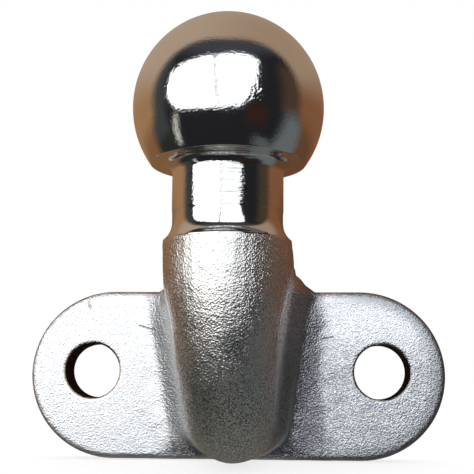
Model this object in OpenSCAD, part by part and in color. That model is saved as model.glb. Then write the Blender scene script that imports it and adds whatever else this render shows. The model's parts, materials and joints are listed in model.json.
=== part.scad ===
// Flanged tow ball: one forging with a turned ball and neck, and two bolt holes.
// Origin: middle of the line between the holes, on the mounting face.
// X runs along the flange, the ball lies towards -Y, and +Z is up.

/* [Ball] */
// Diameter of the ball
ball_d = 50; // [46:0.1:54]
// Height of the ball's centre above the bolt holes
ball_h = 68; // [64:0.5:76]
// Distance from the mounting face to the ball's axis
reach = 60; // [52:0.5:72]
// Depth of the flat underside below the ball's centre
underside_drop = 14.8; // [13:0.1:16.5]

/* [Neck] */
// Diameter of the neck
neck_d = 29; // [26:0.1:31]
// Radius of the fillet between the ball's underside and the neck
neck_fillet = 3; // [1:0.1:3.5]
// Radius of the flare from the neck out to the collar
flare_r = 5.2; // [2.6:0.1:7]
// Length of the smoother band at the foot of the neck
band_l = 2.6; // [1.5:0.1:6]
// How far that band is turned in from the neck
band_depth = 0.1; // [0.05:0.05:0.3]

/* [Collar] */
// Diameter of the collar's edge, where turning ends and forging starts
collar_d = 33.4; // [32:0.1:36]
// Height of the collar's edge above the bolt holes
collar_h = 33; // [31:0.5:37]
// Length of the straight column under the collar's edge
column_l = 2.5; // [2:0.5:4]
// How far the forged column stands out from the collar's edge
column_swell = 0.1; // [0.05:0.05:0.6]

/* [Flange] */
// Length of the flange over its round ends
flange_w = 129; // [120:1:140]
// Height of the flange
flange_h = 52; // [46:1:54]
// Thickness of the flange
flange_t = 12; // [9:0.5:16]
// How far the flange's middle lies below the bolt holes
flange_drop = 1.1; // [0:0.1:3]
// Radius of the flange's front edges
front_edge_r = 2; // [0.5:0.1:3]
// Radius of the flange's back edges
back_edge_r = 1; // [0.5:0.1:2]

/* [Bolt holes] */
// Distance between the two bolt holes
hole_spacing = 90; // [80:1:96]
// Diameter of the bolt holes
hole_d = 17; // [13:0.5:19]
// Radius of the rounded lip at each hole's front
hole_lip = 0.5; // [0.2:0.1:1]

/* [Arm] */
// Width that the flanks narrow to at the foot, in line with the ball
arm_foot_w = 19; // [16:0.5:26]
// Draft that widens the flanks towards the flange, in degrees
flank_draft = 2.7; // [0:0.1:5]
// How far the arm's back falls on its way from the column to the flange
back_fall = 0.3; // [0.2:0.1:3]
// Depth of the rounded shoulders between the back and the flanks
shoulder = 1.7; // [1:0.1:8]
// Squareness of the shoulders, where 1 is an ellipse and less is squarer
shoulder_power = 0.5; // [0.45:0.05:1]
// Squareness of the bend's outline, where 2 is an ellipse and more is squarer
bend_power = 2.5; // [2:0.1:3]
// Length of the level stretch of the underside in front of the flange
heel_l = 2; // [0:0.5:4]
// How far the underside stands below the flange's edge
heel_drop = 0.1; // [0:0.1:1.5]
// Depth of the rounding across the underside at the flange
heel_round = 10; // [4:0.1:11]
// How far the fillets between the flanks and the flange spread on the flange at the top
flank_fillet = 8.7; // [6:0.1:11]
// How far the same fillets spread at the foot, as a share of that
fillet_foot = 0.5; // [0.3:0.05:1]
// How many times as far the same fillets reach along the flanks
fillet_stretch = 2; // [1:0.1:2.5]

/* [Hidden] */
$fn = 96;

// Overlap of shapes that are drawn together
overlap = 0.01;

ball_r = ball_d / 2;
neck_r = neck_d / 2;
band_r = neck_r - band_depth;
collar_r = collar_d / 2;
column_r = collar_r + column_swell;
end_r = flange_h / 2;
end_x = flange_w / 2 - end_r;
underside_h = ball_h - underside_drop;

// The flare's centre stands at this height, so that it meets the collar's edge
flare_h = collar_h + sqrt(pow(flare_r, 2) - pow(band_r + flare_r - collar_r, 2));

// How deep the turned neck and collar are rooted in the forging
root_l = 8;
collar_root = column_l / 2;

// Heights of the two rings that round the column's top in under the collar
column_top = collar_h - column_l / 10;
column_full = collar_h - column_l / 3;

// The arm's outline seen from the side: a squared quarter ellipse outside, a plain one inside
bend_y = -flange_t - heel_l;
bend_h = collar_h - column_l;
heel_h = -flange_drop - end_r - heel_drop;
outer_a = reach + column_r + bend_y;
outer_b = bend_h - heel_h;
inner_a = reach - column_r + bend_y;
inner_b = back_fall;
flank_taper = (column_r - arm_foot_w / 2) / outer_b;

// How far round the bend the flanks and the shoulders have reached their own shape
flank_turn = 0.3;
shoulder_turn = 0.35;

// The fillets are sunk this far, so that they cut into the flange at a small angle
fillet_sink = 0.15;
fillet_depth = flank_fillet - fillet_sink;
fillet_l = fillet_depth * fillet_stretch;

// The arm ends this far in front of the mounting face
arm_gap = 0.05;

// How finely the arm is drawn
bend_steps = 24;
fillet_steps = 8;
edge_steps = 3;
cap_steps = 20;
flank_steps = 6;

// Eases from a to b as t goes from 0 to 1, and holds b after that
function ease(a, b, t) = a + (b - a) * (1 - cos(180 * min(t, 1))) / 2;

// Height of an outline with half-axes a and b at the place y
function outline_h(y, a, b, power) = bend_h - b * pow(1 - pow(max(0, bend_y - y) / a, power), 1 / power);

// A station of the arm: [point on its back, point on its underside, turn from 0 to 1, lift],
// where the lift says how much higher the flange's full edge is than its rounded one
function bend_station(t) =
    let (outer_end = acos(pow((fillet_l - heel_l) / outer_a, bend_power / 2)),
         inner_end = acos((fillet_l - heel_l) / inner_a),
         squared = 2 / bend_power)
    [[bend_y - inner_a * cos(t * inner_end), bend_h - inner_b * sin(t * inner_end)],
     [bend_y - outer_a * pow(cos(t * outer_end), squared),
      bend_h - outer_b * pow(sin(t * outer_end), squared)],
     t, 0];

function flange_station(y, lift = 0) =
    [[y, outline_h(y, inner_a, inner_b, 2) - lift],
     [y, outline_h(y, outer_a, outer_b, bend_power) + lift], 1, lift];

// Half the arm's width at a point [y, z], without its fillets
function flank_x(p, turn) = column_r + ease(0, 1, turn / flank_turn)
    * (tan(flank_draft) * (p.x + reach) - flank_taper * (bend_h - p.y));

// How far a point [y, z] lies from the flange's cross-section, in front of it by the fillets' stretch
function flange_distance(p) =
    let (ahead = -flange_t - p.x)
    norm([max(0, front_edge_r + (ahead > 0 ? ahead / fillet_stretch : ahead)),
          max(0, abs(p.y + flange_drop) - end_r + front_edge_r)]) - front_edge_r;

// How much the fillets add to half the arm's width at a distance from the flange
function fillet_growth(distance) =
    flank_fillet - sqrt(pow(flank_fillet, 2) - pow(max(0, fillet_depth - max(distance, -fillet_sink)), 2));

// The share of that growth at a height, from the whole of it under the column down to the foot
function fillet_share(h) = 1 - (1 - fillet_foot) * min(1, max(0, bend_h - h) / outer_b);

// One vertex: across is the share of the width, side how far its normal looks sideways
function arm_point(station, s, across, side) =
    let (span = station[1] - station[0],
         p = station[0] + span * s / norm(span),
         seen = [p.x, p.y + station[3]])
    [across * flank_x(p, station[2]) + side * fillet_share(p.y) * fillet_growth(flange_distance(seen)),
     p.x, p.y];

// A cap's outline at the angle a: [share of the width, share of the depth, sideways look]
function cap_point(a, depth, power) =
    let (n = [pow(abs(sin(a)), 2 - power) / column_r, pow(cos(a), 2 - power) / depth])
    [sign(a) * pow(abs(sin(a)), power), 1 - pow(cos(a), power), sign(a) * n.x / norm(n)];

// A section's outline, round the underside, up one flank, over the back and down
function arm_section(station) =
    let (l = norm(station[1] - station[0]),
         heel = ease(column_r, heel_round, station[2]),
         back = ease(column_r, shoulder, station[2] / shoulder_turn),
         power = ease(1, shoulder_power, station[2] / shoulder_turn),
         flank = l - heel - back)
    [for (i = [0 : cap_steps]) let (c = cap_point(-90 + 180 * i / cap_steps, heel, 1))
        arm_point(station, l - heel * c[1], c[0], c[2]),
     for (i = [flank_steps - 1 : -1 : 1])
        arm_point(station, back + flank * pow(i / flank_steps, 2), 1, 1),
     for (i = [0 : cap_steps]) let (c = cap_point(90 - 180 * i / cap_steps, back, power))
        arm_point(station, back * c[1], c[0], c[2]),
     for (i = [1 : flank_steps - 1])
        arm_point(station, back + flank * pow(i / flank_steps, 2), -1, -1)];

// A round ring of the column, with as many vertices as a section
function column_ring(r, h) =
    [for (p = arm_section(bend_station(0))) [p.x * r / column_r, -reach + (p.y + reach) * r / column_r, h]];

function arm_rings() =
    [column_ring(collar_r - column_swell, column_top),
     column_ring(column_r, column_full),
     for (i = [0 : bend_steps]) arm_section(bend_station(i / bend_steps)),
     for (i = [1 : fillet_steps]) let (ahead = fillet_depth - flank_fillet * sin(90 * i / fillet_steps))
        arm_section(flange_station(-flange_t - ahead * (ahead > 0 ? fillet_stretch : 1))),
     for (i = [1 : edge_steps])
        arm_section(flange_station(-flange_t + front_edge_r * (1 - cos(90 * i / edge_steps)))),
     for (i = [0 : edge_steps]) let (a = 90 * i / edge_steps)
        arm_section(flange_station(back_edge_r * (sin(a) - 1) - arm_gap, back_edge_r * (1 - cos(a))))];

// A closed solid through rings that all have the same number of vertices
module loft(rings) {
    n = len(rings[0]);
    last = len(rings) - 1;
    polyhedron(
        points = [for (ring = rings) each ring],
        faces = [
            [for (i = [n - 1 : -1 : 0]) i],
            for (k = [0 : last - 1], i = [0 : n - 1])
                let (a = k * n + i, b = k * n + (i + 1) % n)
                each [[a, b, a + n], [b, b + n, a + n]],
            [for (i = [0 : n - 1]) last * n + i]]);
}

// The arm: a forged loft from the round column down and back through the flange
module arm() {
    loft(arm_rings());
}

// The ball with its flat underside, as half a section
module ball_profile() {
    intersection() {
        translate([0, ball_h]) circle(r = ball_r);
        translate([0, underside_h]) square([ball_r, ball_d]);
    }
}

// The neck, its smoother band and the two curves that run out to the ball and the collar
module neck_profile() {
    band_top = flare_h + band_l;
    translate([0, band_top]) square([neck_r, underside_h - band_top + overlap]);
    translate([0, collar_h - root_l]) square([band_r, band_top + root_l - collar_h + overlap]);
    difference() {
        translate([0, underside_h - neck_fillet]) square([neck_r + neck_fillet, neck_fillet + overlap]);
        translate([neck_r + neck_fillet, underside_h - neck_fillet]) circle(r = neck_fillet);
    }
    difference() {
        translate([0, collar_h - overlap]) square([collar_r, flare_h - collar_h + overlap]);
        translate([band_r + flare_r, flare_h]) circle(r = flare_r);
    }
}

// The ball, neck and collar, turned about the ball's axis
module turned_head() {
    translate([0, -reach, 0]) rotate_extrude() {
        ball_profile();
        neck_profile();
        translate([0, collar_h - collar_root]) square([collar_r, collar_root]);
    }
}

// What a rounded corner takes away, seen from the rounding's centre
module corner_waste(r) {
    difference() {
        square(2 * r);
        circle(r = r);
    }
}

// Half of the flange's cross-section, with its height along x and its thickness along y
module rim_profile() {
    difference() {
        square([end_r, flange_t]);
        translate([end_r - front_edge_r, flange_t - front_edge_r]) corner_waste(front_edge_r);
        translate([end_r - back_edge_r, back_edge_r]) mirror([0, 1]) corner_waste(back_edge_r);
    }
}

// The flange: a straight slab with rounded edges between two half discs
module flange() {
    translate([0, 0, -flange_drop]) {
        rotate([180, 90, 0]) linear_extrude(2 * end_x, center = true) {
            rim_profile();
            mirror([1, 0]) rim_profile();
        }
        for (side = [-1, 1])
            translate([side * end_x, 0, 0]) rotate([0, side * 90, 0]) rotate([90, 0, 0])
                rotate_extrude(angle = 180) rim_profile();
    }
}

// One bolt hole with its rounded front lip, on the Y axis
module bolt_hole() {
    lip_r = hole_d / 2 + hole_lip;
    rotate([90, 0, 0]) {
        translate([0, 0, -flange_t / 2]) cylinder(d = hole_d, h = 2 * flange_t);
        rotate_extrude() difference() {
            translate([0, flange_t - hole_lip]) square([lip_r, 2 * hole_lip]);
            translate([lip_r, flange_t - hole_lip]) circle(r = hole_lip);
        }
    }
}

module tow_ball() {
    color([0.78, 0.79, 0.82]) difference() {
        union() {
            turned_head();
            arm();
            flange();
        }
        for (side = [-1, 1]) translate([side * hole_spacing / 2, 0, 0]) bolt_hole();
    }
}

tow_ball();
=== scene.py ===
import json
import math

import bpy
from mathutils import Matrix, Vector


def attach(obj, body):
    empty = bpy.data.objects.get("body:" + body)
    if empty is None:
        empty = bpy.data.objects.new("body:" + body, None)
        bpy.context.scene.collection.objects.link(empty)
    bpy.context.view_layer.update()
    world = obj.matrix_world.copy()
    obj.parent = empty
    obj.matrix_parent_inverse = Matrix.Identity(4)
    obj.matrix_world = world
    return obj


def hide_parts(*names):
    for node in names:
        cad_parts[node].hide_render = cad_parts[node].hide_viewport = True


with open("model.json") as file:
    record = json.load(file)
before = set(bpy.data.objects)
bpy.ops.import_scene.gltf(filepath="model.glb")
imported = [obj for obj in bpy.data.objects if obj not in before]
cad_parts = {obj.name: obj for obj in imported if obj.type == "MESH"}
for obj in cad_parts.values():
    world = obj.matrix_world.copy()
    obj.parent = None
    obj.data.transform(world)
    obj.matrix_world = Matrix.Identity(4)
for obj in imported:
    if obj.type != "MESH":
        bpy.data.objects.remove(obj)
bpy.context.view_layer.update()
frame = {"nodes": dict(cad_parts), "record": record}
print("frame loaded")

mounts = {mount["name"]: mount for mount in frame["record"]["mounts"]}
ballCentre = Vector(mounts["ball"]["pos_m"])
ballRadius = mounts["ball"]["dims"]["r_mm"] / 1000
holeX = mounts["bolt_holes"]["dims"]["spacing_x_mm"] / 2000
holeRadius = mounts["bolt_holes"]["dims"]["hole_r_mm"] / 1000
body = frame["nodes"]["tow_ball"]

# sizes and places below are in metres, in the part's own frame
# a pair of limits gives where a share or a mask is 0 and where it is 1


def deselectAll():
    if bpy.context.object and bpy.context.object.mode != "OBJECT":
        bpy.ops.object.mode_set(mode="OBJECT")
    bpy.ops.object.select_all(action="DESELECT")


def useObject(piece):       # makes one object the only one selected
    deselectAll()
    piece.select_set(True)
    bpy.context.view_layer.objects.active = piece


def applyModifier(piece, kind, **settings):
    useObject(piece)
    modifier = piece.modifiers.new(kind.lower(), kind)
    for name, value in settings.items():
        setattr(modifier, name, value)
    bpy.ops.object.modifier_apply(modifier=modifier.name)


# camera

photo = {
    "place": (0.013966, -0.282811, -0.001949),
    "yaw": -2.928,          # degrees to the right of +Y
    "pitch": 5.827,         # degrees above level
    "roll": 0.413,
    "lens": 66.1,           # millimetres, on the sensor below
    "sensor": 36,
    "shiftUp": 0.1095,
    "nearest": 0.01,
}


def addCamera():
    yaw, pitch, roll = (math.radians(photo[name]) for name in ("yaw", "pitch", "roll"))
    ahead = Vector((math.sin(yaw) * math.cos(pitch), math.cos(yaw) * math.cos(pitch), math.sin(pitch)))
    right = Vector((math.cos(yaw), -math.sin(yaw), 0))
    up = right.cross(ahead)
    tiltedRight = math.cos(roll) * right + math.sin(roll) * up
    tiltedUp = math.cos(roll) * up - math.sin(roll) * right
    turn = Matrix([tiltedRight, tiltedUp, -ahead]).transposed().to_4x4()
    camera = bpy.data.objects.new("camera", bpy.data.cameras.new("camera"))
    bpy.context.scene.collection.objects.link(camera)
    camera.matrix_world = Matrix.Translation(photo["place"]) @ turn
    camera.data.sensor_width = photo["sensor"]
    camera.data.lens = photo["lens"]
    camera.data.shift_y = photo["shiftUp"]
    camera.data.clip_start = photo["nearest"]
    bpy.context.scene.camera = camera


addCamera()
print("camera placed")


# the turned head: the ball, its neck and the flare down to the collar

turned = {
    "underside": 0.0532,
    "edgeRound": 0.0004,
    "neckRadius": 0.0145,
    "neckFillet": 0.003,
    "bandRadius": 0.0144,       # the turned band under the neck
    "bandTop": 0.0399,
    "bandRun": 0.0012,          # height over which the neck narrows to the band
    "flareRadius": 0.0062,
    "collarRadius": 0.0167,
    "collarTop": 0.033,
    "collarFoot": 0.0318,       # inside the forging, and a little narrower than the collar
    "footInset": 0.00005,
    "segments": 288,
    "rings": 144,
    "edgeSteps": 6,
    "arcSteps": 14,
    "mergeWithin": 0.000001,
    "smoothAngle": 32,
}


def arcStations(centreRadius, centreHeight, radius, start, end, steps):      # in degrees, 0 outwards, 90 up
    angles = [math.radians(start + (end - start) * i / steps) for i in range(steps + 1)]
    return [(centreRadius + radius * math.cos(a), centreHeight + radius * math.sin(a)) for a in angles]


def headStations():         # radii and heights, from the ball's lower edge down to the collar's foot
    edgeHeight = turned["underside"] + turned["edgeRound"]
    edgeRadius = math.sqrt((ballRadius - turned["edgeRound"]) ** 2 - (ballCentre.z - edgeHeight) ** 2)
    edgeTurn = math.degrees(math.atan2(edgeHeight - ballCentre.z, edgeRadius))
    filletCentre = turned["neckRadius"] + turned["neckFillet"]
    filletHeight = turned["underside"] - turned["neckFillet"]
    flareCentre = turned["bandRadius"] + turned["flareRadius"]
    flareDrop = math.sqrt(turned["flareRadius"] ** 2 - (flareCentre - turned["collarRadius"]) ** 2)
    flareHeight = turned["collarTop"] + flareDrop
    flareEnd = 180 + math.degrees(math.asin(flareDrop / turned["flareRadius"]))
    return (arcStations(edgeRadius, edgeHeight, turned["edgeRound"], edgeTurn, -90, turned["edgeSteps"])
            + arcStations(filletCentre, filletHeight, turned["neckFillet"], 90, 180, turned["arcSteps"])
            + [(turned["neckRadius"], turned["bandTop"] + turned["bandRun"])]
            + [(turned["bandRadius"], turned["bandTop"])]
            + arcStations(flareCentre, flareHeight, turned["flareRadius"], 180, flareEnd, turned["arcSteps"])
            + [(turned["collarRadius"] - turned["footInset"], turned["collarFoot"])])


def makeHead():
    stations = headStations()
    deselectAll()
    bpy.ops.mesh.primitive_uv_sphere_add(segments=turned["segments"], ring_count=turned["rings"],
                                         radius=ballRadius, location=ballCentre)
    piece = bpy.context.object
    piece.name = "turned_head"
    bpy.ops.object.transform_apply(location=True, rotation=True, scale=True)
    bpy.ops.object.mode_set(mode="EDIT")
    bpy.ops.mesh.select_all(action="SELECT")
    bpy.ops.mesh.bisect(plane_co=(0, 0, stations[0][1]), plane_no=(0, 0, 1), clear_inner=True)
    radius, height = stations[0]
    for nextRadius, nextHeight in stations[1:]:     # draws the cut edge down, ring by ring
        bpy.ops.mesh.extrude_edges_move(TRANSFORM_OT_translate={"value": (0, 0, nextHeight - height)})
        bpy.ops.transform.resize(value=(nextRadius / radius, nextRadius / radius, 1),
                                 center_override=(ballCentre.x, ballCentre.y, nextHeight))
        radius, height = nextRadius, nextHeight
    bpy.ops.mesh.edge_face_add()
    bpy.ops.mesh.select_all(action="SELECT")
    bpy.ops.mesh.remove_doubles(threshold=turned["mergeWithin"])
    bpy.ops.mesh.normals_make_consistent(inside=False)
    bpy.ops.object.mode_set(mode="OBJECT")
    bpy.ops.object.shade_smooth_by_angle(angle=math.radians(turned["smoothAngle"]))
    return piece


turnedHead = makeHead()
print("head turned")


# the forging: the arm and the flange

forged = {
    "voxel": 0.00055,
    "mergeWithin": 0.000002,
    "spareTop": 0.002,          # kept above the collar until the surface is done
    "soft": (0.031, 0.028),     # distance from the middle, within which the surface is evened out
    "evening": 9,               # times in and out
    "smoothing": 0.5,
    "backOut": -0.52,
    "waveSize": 0.005,
    "waveHeight": 0.00022,
    "front": (-0.0112, -0.012),     # depth of the flange's front face
    "creaseMiddle": 0.02045,    # where the fillets run out on the flange, at the bolt holes' height
    "creaseLean": 0.1875,
    "creaseHalf": 0.009,
    "creaseTop": (0.0225, 0.0195),
    "creasePasses": 80,
    "blendFill": 0.0014,
    "blendReach": 0.0075,       # outwards from the crease, at the bolt holes' height
    "blendSpread": 0.08,        # how much farther it reaches for each metre down
    "blendInwards": 0.006,
    "blendFoot": (-0.0255, -0.0205),
    "blendTop": (0.0235, 0.0175),
    "shoulderFill": 0.0006,     # on the right only
    "shoulderSide": (0.013, 0.015),
    "shoulderFoot": (0.0215, 0.0245),
    "shoulderTop": (0.0315, 0.0285),
    "smoothAngle": 40,
}


def cutTop(piece, height):      # takes away all above a height and closes the cut
    useObject(piece)
    bpy.ops.object.mode_set(mode="EDIT")
    bpy.ops.mesh.select_all(action="SELECT")
    bpy.ops.mesh.remove_doubles(threshold=forged["mergeWithin"])
    bpy.ops.mesh.bisect(plane_co=(0, 0, height), plane_no=(0, 0, 1), clear_outer=True, use_fill=True)
    bpy.ops.object.mode_set(mode="OBJECT")


def share(value, low, high):    # 0 at low, 1 at high and straight between, where either may be the greater
    return max(0, min(1, (value - low) / (high - low)))


def fromCrease(place):          # how far outside the line a place lies where a fillet meets the flange
    return abs(place.x) - forged["creaseMiddle"] - forged["creaseLean"] * place.z


def creaseWeight(place):        # 1 where a fillet meets the flange, 0 away from there
    across = math.sin(math.pi / 2 * share(abs(fromCrease(place)), forged["creaseHalf"], 0)) ** 2
    return across * share(place.y, *forged["front"]) * share(place.z, *forged["creaseTop"])


def blendWeight(place):         # the same, but it runs out over the flange, farther at the foot
    outside = fromCrease(place)
    reach = forged["blendReach"] - forged["blendSpread"] * place.z
    across = share(outside, reach if outside > 0 else -forged["blendInwards"], 0)
    edges = share(place.z, *forged["blendFoot"]) * share(place.z, *forged["blendTop"])
    return across ** 2 * share(place.y, *forged["front"]) * edges


def shoulderWeight(place):      # 1 beside the arm just above the flange
    beside = share(abs(place.x), *forged["shoulderSide"]) * share(place.y, *forged["front"])
    return beside * share(place.z, *forged["shoulderFoot"]) * share(place.z, *forged["shoulderTop"])


def weighPlaces(piece):         # how much each step that softens the forging acts on each place
    names = ("soft", "crease", "blend", "shoulder")
    soft, crease, blend, shoulder = (piece.vertex_groups.new(name=name) for name in names)
    for vertex in piece.data.vertices:
        besideArm = shoulderWeight(vertex.co)
        soft.add([vertex.index], share(abs(vertex.co.x), *forged["soft"]), "REPLACE")
        crease.add([vertex.index], max(creaseWeight(vertex.co), besideArm), "REPLACE")
        blend.add([vertex.index], blendWeight(vertex.co), "REPLACE")
        shoulder.add([vertex.index], besideArm if vertex.co.x > 0 else 0, "REPLACE")


def smooth(piece, group, factor, passes):
    applyModifier(piece, "SMOOTH", factor=factor, iterations=passes, vertex_group=group)


def fill(piece, group, axis, strength):
    applyModifier(piece, "DISPLACE", direction=axis, strength=strength, mid_level=0, vertex_group=group)


def makeForging():
    useObject(body)
    bpy.ops.object.duplicate()
    piece = bpy.context.object
    piece.name = "forged_body"
    cutTop(piece, turned["collarTop"] + forged["spareTop"])
    applyModifier(piece, "REMESH", mode="VOXEL", voxel_size=forged["voxel"])
    applyModifier(piece, "SHRINKWRAP", target=body)
    weighPlaces(piece)
    for turn in range(forged["evening"]):       # one pass in, one pass out, so that the form keeps its size
        smooth(piece, "soft", forged["smoothing"], 1)
        smooth(piece, "soft", forged["backOut"], 1)
    fill(piece, "blend", "Y", -forged["blendFill"])
    fill(piece, "shoulder", "X", forged["shoulderFill"])
    smooth(piece, "crease", forged["smoothing"], forged["creasePasses"])
    waves = bpy.data.textures.new("forging_waves", "CLOUDS")
    waves.noise_scale = forged["waveSize"]
    applyModifier(piece, "DISPLACE", texture=waves, strength=forged["waveHeight"], mid_level=0.5,
                  vertex_group="soft")
    cutTop(piece, turned["collarTop"])
    useObject(piece)
    bpy.ops.object.shade_smooth_by_angle(angle=math.radians(forged["smoothAngle"]))
    return piece


forgedBody = makeForging()
print("forging made:", len(forgedBody.data.polygons), "faces")


# what the finishes are made with

class Wire:                 # a node's output that adds and multiplies like a number
    def __init__(self, nodes, socket):
        self.nodes, self.socket = nodes, socket

    def maths(self, operation, *values):
        return self.nodes.add("ShaderNodeMath", {"operation": operation}, dict(enumerate(values)))

    def __add__(self, other):
        return self.maths("ADD", self, other)

    def __radd__(self, other):
        return self.maths("ADD", other, self)

    def __sub__(self, other):
        return self.maths("SUBTRACT", self, other)

    def __rsub__(self, other):
        return self.maths("SUBTRACT", other, self)

    def __mul__(self, other):
        return self.maths("MULTIPLY", self, other)

    def __rmul__(self, other):
        return self.maths("MULTIPLY", other, self)

    def __truediv__(self, other):
        return self.maths("DIVIDE", self, other)

    def __pow__(self, other):
        return self.maths("POWER", self, other)

    def __abs__(self):
        return self.maths("ABSOLUTE", self)

    def least(self, other):
        return self.maths("MINIMUM", self, other)

    def most(self, other):
        return self.maths("MAXIMUM", self, other)

    def rise(self, low, high):      # 0 at low, 1 at high and smooth between, where either may be the greater
        smoothStep = {"interpolation_type": "SMOOTHSTEP"}
        return self.nodes.add("ShaderNodeMapRange", smoothStep, {0: self, 1: low, 2: high})


def distance(across, up):
    return (across ** 2 + up ** 2) ** 0.5


class Nodes:                # adds the nodes of one material or of the world
    def __init__(self, owner):
        owner.use_nodes = True
        self.owner, self.tree = owner, owner.node_tree
        self.tree.nodes.clear()

    def add(self, kind, settings=None, inputs=None, output=0):
        node = self.tree.nodes.new(kind)
        for name, value in (settings or {}).items():
            setattr(node, name, value)
        for name, value in (inputs or {}).items():
            if isinstance(value, Wire):
                self.tree.links.new(value.socket, node.inputs[name])
            else:
                node.inputs[name].default_value = value
        return Wire(self, node.outputs[output]) if node.outputs else node

    def parts(self, vector):
        split = self.add("ShaderNodeSeparateXYZ", {}, {0: vector}).socket.node
        return [Wire(self, socket) for socket in split.outputs]


class Finish(Nodes):        # one material, on Object coordinates
    def __init__(self, name):
        super().__init__(bpy.data.materials.new(name))
        self.place = self.add("ShaderNodeTexCoord", output="Object")
        self.x, self.y, self.z = self.parts(self.place)

    def vector(self, operation, *values):
        return self.add("ShaderNodeVectorMath", {"operation": operation}, dict(enumerate(values)))

    def noise(self, size, detail=2.0, roughness=0.5, across=1, seed=0.0):
        # an across below 1 draws the noise out to level lines
        where = self.vector("MULTIPLY", self.place, (across / size, across / size, 1 / size))
        return self.add("ShaderNodeTexNoise", {"noise_dimensions": "4D"},
                        {"Vector": where, "W": seed, "Scale": 1.0, "Detail": detail, "Roughness": roughness})

    def dimples(self, size, seed=0.0):      # round hollows with sharp ridges between them
        where = self.vector("MULTIPLY", self.place, (1 / size, 1 / size, 1 / size))
        return self.add("ShaderNodeTexVoronoi", {"voronoi_dimensions": "4D"},
                        {"Vector": where, "W": seed, "Scale": 1.0})

    def mixColour(self, mask, low, high):
        low, high = ((*colour, 1) if isinstance(colour, tuple) else colour for colour in (low, high))
        return self.add("ShaderNodeMix", {"data_type": "RGBA"}, {0: mask, 6: low, 7: high}, output=2)

    def metal(self, colour, roughness, height):     # height in metres
        bump = self.add("ShaderNodeBump", {}, {"Height": height, "Distance": 1.0, "Strength": 1.0})
        return self.surface("ShaderNodeBsdfPrincipled",
                            {"Base Color": colour, "Metallic": 1.0, "Roughness": roughness, "Normal": bump})

    def surface(self, kind, inputs):
        self.add("ShaderNodeOutputMaterial", {}, {"Surface": self.add(kind, {}, inputs)})
        return self.owner


# the turned head's finish

turnedLook = {
    "ballFrom": (0.0515, 0.0535),
    "bandFrom": (0.0404, 0.0399),
    "grain": {"size": 0.00055, "detail": 1},
    "grainHeight": 0.000026,
    "grainLostOnBand": 0.6,
    "lines": {"size": 0.00045, "detail": 1, "across": 0.3, "seed": 3.0},
    "lineHeight": 0.00001,
    "neckLineHeight": 0.00004,      # added on the neck
    "fleckPlace": (0.0083, 0.0644),     # a rough spot beside the right window, as x and z
    "fleckReach": (0.0038, 0.001),
    "fleckFront": (-0.07, -0.075),
    "fleckPits": {"size": 0.0007, "seed": 2.0},
    "fleckHeight": 0.00009,
    "cloud": {"size": 0.006, "detail": 4},
    "roughness": 0.07,
    "cloudRoughness": 0.04,
    "colours": ((0.82, 0.82, 0.80), (0.88, 0.88, 0.88)),
    # lathe lines on the neck, painted as darker streaks in the colour where the neck reflects the windows:
    # painted shade in the reflection
    "paintedLineShade": {"size": 0.0005, "detail": 2, "roughness": 0.6, "across": 0.08, "seed": 7.0},
    "streaked": (0.48, 0.68),
    "streakMiddle": -0.0015,        # the neck shows them only where it reflects the windows
    "streakReach": (0.0085, 0.0065),
    "streakFront": (-0.06, -0.066),
    "streakStrength": 0.8,
    "paintedLineShadeColour": (0.34, 0.34, 0.35),
}


def turnedZinc():
    look = turnedLook
    finish = Finish("turned_zinc")
    onBand = finish.z.rise(*look["bandFrom"])
    onNeck = (1 - finish.z.rise(*look["ballFrom"])) * (1 - onBand)
    grain = finish.noise(**look["grain"]) * (1 - look["grainLostOnBand"] * onBand)
    lines = finish.noise(**look["lines"]) * (look["neckLineHeight"] * onNeck + look["lineHeight"])
    fleckX, fleckZ = look["fleckPlace"]
    flecks = distance(finish.x - fleckX, finish.z - fleckZ).rise(*look["fleckReach"])
    flecks = flecks * finish.y.rise(*look["fleckFront"]) * finish.dimples(**look["fleckPits"])
    height = look["grainHeight"] * grain + lines + look["fleckHeight"] * flecks
    cloud = finish.noise(**look["cloud"])
    roughness = look["roughness"] + look["cloudRoughness"] * cloud
    inWindow = abs(finish.x - look["streakMiddle"]).rise(*look["streakReach"])
    inWindow = inWindow * finish.y.rise(*look["streakFront"])
    # painted shade: dark streaks laid only over the reflected windows
    paintedLineShade = finish.noise(**look["paintedLineShade"]).rise(*look["streaked"]) * onNeck * inWindow
    colour = finish.mixColour(cloud, *look["colours"])
    colour = finish.mixColour(look["streakStrength"] * paintedLineShade, colour, look["paintedLineShadeColour"])
    return finish.metal(colour, roughness, height)


# the forging's finish

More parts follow.
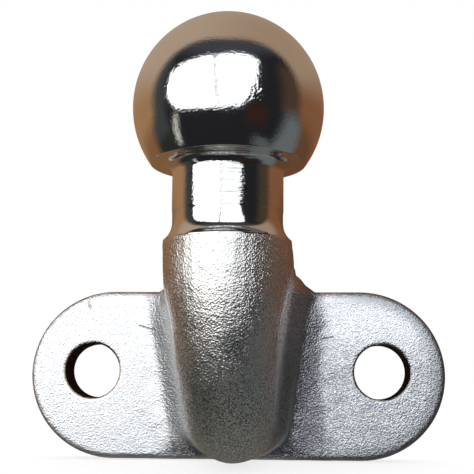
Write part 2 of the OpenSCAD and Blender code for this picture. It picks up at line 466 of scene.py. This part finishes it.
forgedLook = {
    "arm": (-0.0125, -0.018),           # from the flange out to the arm, by depth, as the next four
    "face": (-0.010, -0.0115),
    "recess": (-0.0122, -0.015),
    "bandFace": (-0.009, -0.0115),
    "ridgeFace": (-0.0105, -0.0115),
    "back": (-0.0014, -0.0006),         # the mounting face
    "low": (0.012, -0.012),
    "upper": (-0.002, 0.016),
    "right": (0.012, 0.03),
    "endMiddle": (0.0385, -0.0011),     # of a round end of the flange, as x and z
    "rim": (0.0236, 0.0256),            # distance from that middle
    "shadedRim": (0.0192, 0.0243),
    "shadedSide": (0.02, 0.042),
    "holeLip": (0.0008, 0.0002),        # distance from a hole's edge, over which painted shade darkens the lip
    "rightBandLine": 0.0243,            # a band of painted shade and coarser grain along the right fillet's outer line
    "rightBandSpread": 0.12,
    "rightBandWaist": 0.006,
    "rightCreaseGrainAndShade": (0.0022, -0.0018),
    "rightBandInside": (0.0165, 0.02),
    "leftBandLine": 0.0215,             # a speckled band of painted shade and coarser grain along the left one's
    "leftBandLean": 0.195,
    "leftCreaseGrainAndShade": (0.004, 0.001),
    "ridgeLine": 0.0178,                # a ridge in the left fillet
    "ridgeOutside": (-0.0066, 0),
    "ridgeInside": (0.003, 0),
    "ridgeHeight": 0.0015,
    "filletLean": 0.19,
    "leftRecessLine": 0.0145,
    "leftRecessInside": (0.001, -0.002),
    "leftRecessOutside": (-0.03, -0.026),
    "rightRecessInside": (0.011, 0.015),
    "rightRecessOutside": (0.03, 0.026),
    "coarse": {"size": 0.0004, "detail": 1, "roughness": 0.6, "seed": 1.0},
    "medium": {"size": 0.0009, "detail": 2, "seed": 5.0},
    "pits": {"size": 0.0005, "seed": 3.0},
    "armGrain": (0.00016, 0.0001, 0.00018),         # heights of the coarse and medium grain and the pits
    "flangeGrain": (0.00007, 0.00003, 0.00007),
    "calmUp": (0.006, 0.024),           # the grain is finer up the arm's middle
    "calmMiddle": -0.003,
    "calmReach": (0.0105, 0.005),
    "calmShare": 0.55,
    "grainAdded": {"rim": 1.5, "lowRight": 0.3, "rightCreaseGrainAndShade": 1, "leftCreaseGrainAndShade": 1.1},       # on the flange
    "marks": [                          # start and end as x and z, and half the width
        ((-0.0303, 0.0141), (-0.0253, 0.0126), 0.00035),
        ((-0.0466, 0.0213), (-0.0460, 0.0195), 0.0006),
        ((0.0262, 0.0101), (0.0300, 0.0109), 0.0003),
    ],
    "markCore": 0.3,
    "markDepth": 0.00012,
    "cloud": {"size": 0.008, "detail": 3},
    "specks": {"size": 0.00044, "detail": 1, "roughness": 0.6, "seed": 14.0},
    "specked": (0.46, 0.58),
    # dark specks of the grain, laid thicker on the lower arm and the lower right as painted shade
    "speckAndShadeShares": {"everywhere": 0.08, "low": 0.85, "right": 0.42, "back": 0.4},
    "specksLostAbove": 0.9,
    "patches": {"size": 0.0016, "detail": 2, "roughness": 0.6, "seed": 21.0},
    "patched": (0.42, 0.6),
    # bluish grey patches on the mounting face and on the flange's right, fewer higher up: uneven tone, and
    # painted shade on the lower right
    "dullAndShade": {"size": 0.0045, "detail": 3, "roughness": 0.6, "seed": 31.0},
    "dulled": (0.42, 0.62),
    "dullLostAbove": 0.7,
    "shadowPlace": (0.0023, 0.0063),    # a darker place on the arm, as x and z
    "shadowReach": (0.0045, 0.0008),
    "shadowSquash": 0.6,
    "roughness": 0.24,
    "roughnessAdded": {"cloud": 0.05, "specks": 0.08, "low": 0.12, "rim": 0.1, "leftRecessHighlight": 0.45},
    "colours": ((0.80, 0.82, 0.86), (0.86, 0.87, 0.90)),
    "creaseShadeShares": (0.8, 0.35),          # right and left
    "markShare": 0.6,
    "layers": {                         # share and colour, each laid over those before it
        "arm": (1, (0.89, 0.87, 0.85)),
        "shadow": (0.8, (0.34, 0.34, 0.34)),
        "patches": (1, (0.78, 0.86, 0.82)),
        # painted shade in the recess right of the arm
        "rightRecessShade": (0.1, (0.40, 0.40, 0.43)),
        # painted shade along the lines where the fillets meet the flange
        "creaseShade": (1, (0.40, 0.40, 0.44)),
        # painted highlight: a pale strip where the left fillet catches the light
        "leftRecessHighlight": (1, (0.97, 0.97, 0.98)),
        "shadedEnd": (0.7, (0.30, 0.30, 0.33)),
        # painted shade: a dark brownish ring at each hole's lip
        "holeLipShade": (1, (0.30, 0.22, 0.16)),
        # painted light: the flange's upper right is made lighter
        "upperRightPaintedLight": (1, (0.95, 0.96, 0.99)),
        "dullAndShade": (0.35, (0.42, 0.43, 0.48)),
        # dark specks and scratch marks; the specks also paint shade on the lower arm and lower right
        "specks": (1, (0.18, 0.18, 0.19)),
    },
}


class ForgedFinish(Finish):     # knows where the arm, the flange and the fillets lie
    def __init__(self, name, look):
        super().__init__(name)
        self.look = look
        self.findPlaces()
        self.findFillets()
        self.grains = [self.noise(**look["coarse"]), self.noise(**look["medium"])]
        self.grains.append(self.dimples(**look["pits"]))
        self.cloud = self.noise(**look["cloud"])
        self.specks = self.noise(**look["specks"]).rise(*look["specked"])
        self.marks = self.scratch(*look["marks"][0])
        for mark in look["marks"][1:]:
            self.marks = self.marks.most(self.scratch(*mark))

    def findPlaces(self):
        look = self.look
        self.onArm = self.y.rise(*look["arm"])
        self.onFlange = 1 - self.onArm
        self.onBack = self.y.rise(*look["back"])
        self.onRight = self.x.rise(*look["right"]) * self.onFlange
        self.low = self.onArm * self.z.rise(*look["low"])
        self.upper = self.z.rise(*look["upper"])
        endX, endZ = look["endMiddle"]
        fromMiddle = distance(abs(self.x).most(endX) - endX, self.z - endZ)
        self.onRim = fromMiddle.rise(*look["rim"]) * self.onFlange
        self.shaded = fromMiddle.rise(*look["shadedRim"]) * self.x.rise(*look["shadedSide"]) * self.onFlange

    def findFillets(self):
        look = self.look
        fromWaist = abs(self.z - look["rightBandWaist"])
        pastLine = self.x - look["rightBandLine"] - look["rightBandSpread"] * fromWaist
        self.rightCreaseGrainAndShade = pastLine.rise(*look["rightCreaseGrainAndShade"]) * self.x.rise(*look["rightBandInside"])
        self.rightCreaseGrainAndShade = self.rightCreaseGrainAndShade * self.y.rise(*look["bandFace"]) * self.onFlange
        fromLine = abs(self.x + look["leftBandLine"] + look["leftBandLean"] * self.z)
        self.leftCreaseGrainAndShade = fromLine.rise(*look["leftCreaseGrainAndShade"]) * self.y.rise(*look["face"])
        upright = self.x + look["filletLean"] * self.z      # the same all along the left fillet
        pastRidge = upright + look["ridgeLine"]
        self.ridge = pastRidge.rise(*look["ridgeOutside"]) * pastRidge.rise(*look["ridgeInside"])
        self.ridge = self.ridge * self.y.rise(*look["ridgeFace"])
        inRecess = self.y.rise(*look["recess"])
        # the left fillet's strip, with its painted highlight and raised roughness
        insideLeft = (upright + look["leftRecessLine"]).rise(*look["leftRecessInside"])
        self.leftRecessHighlight = insideLeft * self.x.rise(*look["leftRecessOutside"]) * inRecess
        # the recess right of the arm, where shade is painted
        insideRight = self.x.rise(*look["rightRecessInside"])
        self.rightRecessShade = insideRight * self.x.rise(*look["rightRecessOutside"]) * inRecess

    def scratch(self, start, end, halfWidth):       # a straight mark on the flange's front face
        along = (end[0] - start[0], end[1] - start[1])
        fromX, fromZ = self.x - start[0], self.z - start[1]
        run = (fromX * along[0] + fromZ * along[1]) * (1 / math.hypot(*along) ** 2)
        run = run.most(0).least(1)
        aside = distance(fromX - run * along[0], fromZ - run * along[1])
        return aside.rise(halfWidth, self.look["markCore"] * halfWidth) * self.y.rise(*self.look["face"])

    def grain(self, heights):
        return sum(height * grain for height, grain in zip(heights, self.grains))

    def height(self):
        look, added = self.look, self.look["grainAdded"]
        calm = self.z.rise(*look["calmUp"]) * abs(self.x - look["calmMiddle"]).rise(*look["calmReach"])
        arm = self.onArm * (1 - look["calmShare"] * calm) * self.grain(look["armGrain"])
        coarser = (1 + added["rim"] * self.onRim + added["lowRight"] * self.onRight * (1 - self.upper)
                   + added["rightCreaseGrainAndShade"] * self.rightCreaseGrainAndShade + added["leftCreaseGrainAndShade"] * self.leftCreaseGrainAndShade)
        flange = self.onFlange * self.grain(look["flangeGrain"]) * coarser
        return arm + flange - look["markDepth"] * self.marks + look["ridgeHeight"] * self.ridge

    def roughness(self):
        added = self.look["roughnessAdded"]
        return (self.look["roughness"] + added["cloud"] * self.cloud + added["specks"] * self.specks
                + added["low"] * self.low + added["rim"] * self.onRim + added["leftRecessHighlight"] * self.leftRecessHighlight)

    def shadow(self):
        shadowX, shadowZ = self.look["shadowPlace"]
        squash = math.sqrt(self.look["shadowSquash"])
        fromPlace = distance(self.x - shadowX, squash * (self.z - shadowZ))
        return fromPlace.rise(*self.look["shadowReach"]) * self.onArm

    # patches of uneven tone, gathered on the lower right as painted shade
    def dullAndShade(self):
        look = self.look
        where = (self.onRight * (1 - look["dullLostAbove"] * self.upper)).most(self.onBack)
        return self.noise(**look["dullAndShade"]).rise(*look["dulled"]) * where

    # dark specks and scratch marks, with the specks laid thicker where shade is painted
    def specksMarksAndShade(self):
        look, shares = self.look, self.look["speckAndShadeShares"]
        onRight = shares["right"] * self.onRight * (1 - look["specksLostAbove"] * self.upper)
        where = (shares["everywhere"] + shares["low"] * self.low + onRight).most(shares["back"] * self.onBack)
        return (self.specks * where).most(look["markShare"] * self.marks)

    def colour(self):
        look = self.look
        rightShare, leftShare = look["creaseShadeShares"]
        fromHole = distance(abs(self.x) - holeX, self.z) - holeRadius
        masks = {
            "arm": self.onArm,
            "shadow": self.shadow(),
            "patches": self.noise(**look["patches"]).rise(*look["patched"]) * self.low,
            "rightRecessShade": self.rightRecessShade,
            "creaseShade": (rightShare * self.rightCreaseGrainAndShade).most(leftShare * self.leftCreaseGrainAndShade),
            "leftRecessHighlight": self.leftRecessHighlight,
            "shadedEnd": self.shaded,
            "holeLipShade": fromHole.rise(*look["holeLip"]),
            "upperRightPaintedLight": self.onRight * self.upper * (1 - self.shaded) * (1 - self.rightCreaseGrainAndShade),
            "dullAndShade": self.dullAndShade(),
            "specks": self.specksMarksAndShade(),
        }
        colour = self.mixColour(self.cloud, *look["colours"])
        for name, (layerShare, layerColour) in look["layers"].items():
            colour = self.mixColour(layerShare * masks[name], colour, layerColour)
        return colour


def forgedZinc():
    finish = ForgedFinish("forged_zinc", forgedLook)
    return finish.metal(finish.colour(), finish.roughness(), finish.height())


def dress(piece, material):
    piece.data.materials.clear()
    piece.data.materials.append(material)
    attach(piece, "root")
    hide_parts("tow_ball")


dress(turnedHead, turnedZinc())
dress(forgedBody, forgedZinc())
print("finishes on")


# the studio: cards that only the metal reflects, soft white light and a pale floor

studio = {
    "windowDistance": 0.9,
    "windowMiddle": (-14, 17),      # directions are an azimuth and an elevation in degrees
    "leftGlow": ((1.0, 1.0, 0.98), 2.05),
    "rightGlow": ((0.93, 0.97, 1.0), 1.45),
    "leftPane": [(-60, -6), (-71, 8), (-70, 28), (-60, 36.5), (-45, 42), (-19, 47), (-9, -13), (-30, -12)],
    "rightPane": [(-16.5, 47), (33, 48), (44, 42), (35, 15), (24, -3), (18, -11), (-7.5, -14)],
    "roomRadius": 2.5,
    "roomDepth": 0.4,
    "roomSegments": 64,
    "roomRings": 32,
    "tableHalf": 0.9,
    "tableFront": -0.0002,
    "floorSize": 8,
    "floorHeight": -0.0275,
    "floorPaint": (0.86, 0.86, 0.86),
    "floorLift": 1.3,               # glow that only the camera sees
    "floorLiftShare": 0.6,
    "white": (1, 1, 1),
    "skyLight": 0.8,                # the camera and reflections see 1
}

# what lies round the ball, by the azimuth and elevation it is seen in from the ball's centre
surround = {
    "opening": (0.016, 0.016, 0.019),
    "patches": [                    # limits by azimuth, limits by elevation, colour
        ([], [(42, 58)], (0.05, 0.053, 0.064)),                                     # overhead
        ([(-70, -84)], [], (0.05, 0.056, 0.055)),                                   # far left
        ([(-62, -80)], [(-16, -26)], (0.022, 0.026, 0.02)),                         # low on the left
        ([(58, 78)], [(-12, -2), (45, 28)], (0.065, 0.042, 0.027)),                 # warm, on the right
        ([(20, 30), (56, 46)], [(-6, -14), (-32, -24)], (0.036, 0.016, 0.011)),     # rust
        ([(66, 88)], [(3, -14)], (0.13, 0.145, 0.15)),                              # haze
        ([(34, 56), (90, 70)], [(-37, -43), (-56, -48)], (0.09, 0.10, 0.105)),      # haze lower down
        ([], [(-60, -72)], (0.21, 0.205, 0.185)),                                   # straight below
    ],
    "sliverTop": (-61, -8),         # a narrow bright gap on the left
    "sliverLean": 0.484,
    "sliverReach": (5, 2.5),
    "sliverEnds": [(-7, -16), (-40, -36)],
    "sliverColour": (0.52, 0.51, 0.44),
    "right": (-0.5, 0.5),           # the wood's colours run from left to right: painted light, lighter to the left and higher up, where the windows light it
    "woodUpper": ((0.44, 0.33, 0.24), (0.36, 0.25, 0.17)),
    "woodLevel": ((0.36, 0.20, 0.10), (0.22, 0.095, 0.044)),
    "woodLower": ((0.22, 0.11, 0.05), (0.13, 0.058, 0.028)),
    "upper": (8, 34),
    "lower": (0, -16),
    "underSide": (0.16, 0.1),       # a pale place under the part
    "underHeight": (-0.025, -0.045),
    "underColour": (0.19, 0.18, 0.16),
    "holeShadowReach": (0.014, 0.009),    # painted shadow of the part on the table, round each bolt hole
    "holeShadowColour": (0.012, 0.007, 0.005),
    "woodSide": 95,                 # how far to the side the opening ends, wider lower down
    "woodSideWiden": 0.6,
    "woodTop": 72,
    "woodEdge": (0.76, 1.2),
}


def direction(azimuth, elevation):      # azimuth 0 towards -Y and 90 towards +X
    a, e = math.radians(azimuth), math.radians(elevation)
    return Vector((math.sin(a) * math.cos(e), -math.cos(a) * math.cos(e), math.sin(e)))


def darkOpening(finish, azimuth, elevation):
    colour = surround["opening"]
    for azimuthLimits, elevationLimits, patchColour in surround["patches"]:
        masks = [azimuth.rise(*limits) for limits in azimuthLimits]
        masks += [elevation.rise(*limits) for limits in elevationLimits]
        colour = finish.mixColour(math.prod(masks), colour, patchColour)
    topAzimuth, topElevation = surround["sliverTop"]
    aside = abs(azimuth - topAzimuth - surround["sliverLean"] * (elevation - topElevation))
    ends = math.prod(elevation.rise(*limits) for limits in surround["sliverEnds"])
    return finish.mixColour(aside.rise(*surround["sliverReach"]) * ends, colour, surround["sliverColour"])


def woodAround(finish, side, elevation):
    right = side.rise(*surround["right"])
    names = ("woodUpper", "woodLevel", "woodLower")
    upper, level, lower = (finish.mixColour(right, *surround[name]) for name in names)
    wood = finish.mixColour(elevation.rise(*surround["upper"]), level, upper)
    wood = finish.mixColour(elevation.rise(*surround["lower"]), wood, lower)
    under = abs(finish.x).rise(*surround["underSide"]) * finish.z.rise(*surround["underHeight"])
    wood = finish.mixColour(under, wood, surround["underColour"])
    toHole = distance(abs(finish.x) - holeX, finish.z)
    return finish.mixColour(toHole.rise(*surround["holeShadowReach"]), wood, surround["holeShadowColour"])


def surroundings(name):
    finish = Finish(name)
    unit = finish.vector("NORMALIZE", finish.vector("SUBTRACT", finish.place, ballCentre))
    side, back, up = finish.parts(unit)
    azimuth = side.maths("ARCTAN2", side, -1 * back) * math.degrees(1)
    elevation = up.maths("ARCSINE", up) * math.degrees(1)
    outwards = abs(azimuth) / (surround["woodSide"] - surround["woodSideWiden"] * elevation.least(0))
    upwards = elevation.most(0) / surround["woodTop"]
    onWood = (outwards ** 3 + upwards ** 3).rise(*surround["woodEdge"])
    opening = darkOpening(finish, azimuth, elevation)
    colour = finish.mixColour(onWood, opening, woodAround(finish, side, elevation))
    return finish.surface("ShaderNodeEmission", {"Color": colour})


def glow(name, colour, strength):
    return Finish(name).surface("ShaderNodeEmission", {"Color": (*colour, 1), "Strength": strength})


def onlyInReflections(card, material):
    card.data.materials.append(material)
    card.visible_camera = card.visible_diffuse = card.visible_shadow = False
    card.visible_transmission = card.visible_volume_scatter = False


def addPane(name, material):
    middle = direction(*studio["windowMiddle"])
    deselectAll()
    bpy.ops.mesh.primitive_circle_add(vertices=len(studio[name]), fill_type="NGON")
    pane = bpy.context.object
    pane.name = name
    for vertex, corner in zip(pane.data.vertices, studio[name]):
        ray = direction(*corner)
        vertex.co = ballCentre + ray * studio["windowDistance"] / ray.dot(middle)
    onlyInReflections(pane, material)


def addRoom(material):
    deselectAll()
    bpy.ops.mesh.primitive_uv_sphere_add(segments=studio["roomSegments"], ring_count=studio["roomRings"],
                                         radius=studio["roomRadius"], location=(0, 0, 0))
    room = bpy.context.object
    room.name = "room"
    bpy.ops.object.mode_set(mode="EDIT")
    bpy.ops.mesh.select_all(action="SELECT")
    bpy.ops.mesh.bisect(plane_co=(0, studio["roomDepth"], 0), plane_no=(0, 1, 0), clear_outer=True)
    bpy.ops.object.mode_set(mode="OBJECT")
    onlyInReflections(room, material)


def addTable(material):     # upright, close in front of the mounting face
    deselectAll()
    bpy.ops.mesh.primitive_plane_add(size=2 * studio["tableHalf"], rotation=(math.radians(90), 0, 0),
                                     location=(0, studio["tableFront"], ballCentre.z))
    table = bpy.context.object
    table.name = "table"
    bpy.ops.object.transform_apply(location=True, rotation=True, scale=True)
    onlyInReflections(table, material)


def addFloor():
    deselectAll()
    bpy.ops.mesh.primitive_plane_add(size=studio["floorSize"], location=(0, 0, studio["floorHeight"]))
    floor = bpy.context.object
    floor.name = "floor"
    finish = Finish("pale_floor")
    seen = finish.add("ShaderNodeLightPath", output="Is Camera Ray")
    paint = finish.add("ShaderNodeBsdfDiffuse", {}, {"Color": (*studio["floorPaint"], 1)})
    white = (*studio["white"], 1)
    lift = finish.add("ShaderNodeEmission", {}, {"Color": white, "Strength": studio["floorLift"]})
    mixed = {0: studio["floorLiftShare"] * seen, 1: paint, 2: lift}
    floor.data.materials.append(finish.surface("ShaderNodeMixShader", mixed))
    floor.visible_glossy = False


def lightWorld():
    bpy.context.scene.world = bpy.data.worlds.new("studio")
    sky = Nodes(bpy.context.scene.world)
    rays = ("Is Camera Ray", "Is Glossy Ray", "Is Transmission Ray")
    camera, glossy, transmission = (sky.add("ShaderNodeLightPath", output=ray) for ray in rays)
    strength = studio["skyLight"] + (1 - studio["skyLight"]) * camera.most(glossy).most(transmission)
    background = sky.add("ShaderNodeBackground", {}, {"Color": (*studio["white"], 1), "Strength": strength})
    sky.add("ShaderNodeOutputWorld", {}, {"Surface": background})


addPane("leftPane", glow("left_glow", *studio["leftGlow"]))
addPane("rightPane", glow("right_glow", *studio["rightGlow"]))
roomMaterial = surroundings("surroundings")
addRoom(roomMaterial)
addTable(roomMaterial)
addFloor()
lightWorld()
bpy.context.scene.view_settings.view_transform = "Standard"
print("studio lit")
